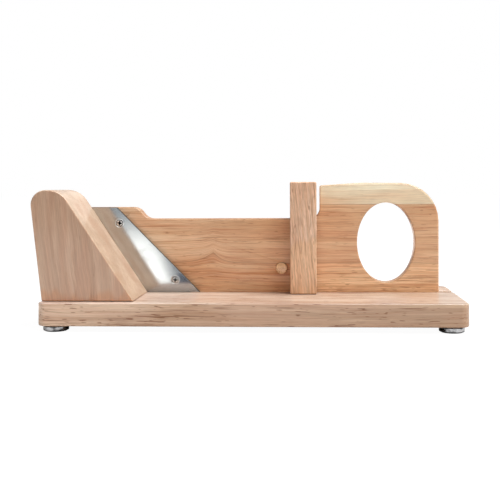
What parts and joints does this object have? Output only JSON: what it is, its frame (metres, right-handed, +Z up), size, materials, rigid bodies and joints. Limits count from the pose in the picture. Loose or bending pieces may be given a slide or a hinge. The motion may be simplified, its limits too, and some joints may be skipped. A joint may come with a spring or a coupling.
{
  "type": "sausage guillotine",
  "caption": "Wooden sausage guillotine: a board with a steel blade slides in a groove of the base, through a gate, pulled by an oval grip.",
  "frame": {"origin": "middle of the footprint of the whole part, on the surface that the feet stand on", "axes": "+X along the base towards the grip, +Y from the block's side, the front, to the back, +Z up"},
  "size_m": [0.3776, 0.13, 0.1292],
  "materials": {
    "base_wood": "planed and oiled, grain along the length",
    "block_wood": "planed and oiled, grain upright",
    "gate_wood": "planed and oiled, grain upright",
    "slider_wood": "glued staves, planed and oiled, grain along the length",
    "dowel_wood": "end grain, sanded",
    "polished_steel": "polished stainless steel",
    "plain_steel": "bright zinc",
    "foot_chrome": "polished",
    "black_rubber": "matt"
  },
  "bodies": {
    "stand": {"base_board": "base_wood", "front_block": "block_wood", "gate_post": "gate_wood", "block_screw_left": "plain_steel", "block_screw_right": "plain_steel", "gate_screw_front": "plain_steel", "gate_screw_back": "plain_steel", "foot_cup_front_left": "foot_chrome", "foot_cup_front_right": "foot_chrome", "foot_cup_back_left": "foot_chrome", "foot_cup_back_right": "foot_chrome", "foot_pad_front_left": "black_rubber", "foot_pad_front_right": "black_rubber", "foot_pad_back_left": "black_rubber", "foot_pad_back_right": "black_rubber", "foot_screw_front_left": "plain_steel", "foot_screw_front_right": "plain_steel", "foot_screw_back_left": "plain_steel", "foot_screw_back_right": "plain_steel"},
    "slider": {"slider_board": "slider_wood", "guide_peg": "dowel_wood", "blade": "polished_steel", "blade_shim": "plain_steel", "blade_screw_upper": "plain_steel", "blade_screw_lower": "plain_steel"}
  },
  "joints": [
    {"name": "slider_travel", "type": "slide", "parent": "stand", "child": "slider", "axis": [1, 0, 0], "range_m": [0, 0.138]}
  ]
}
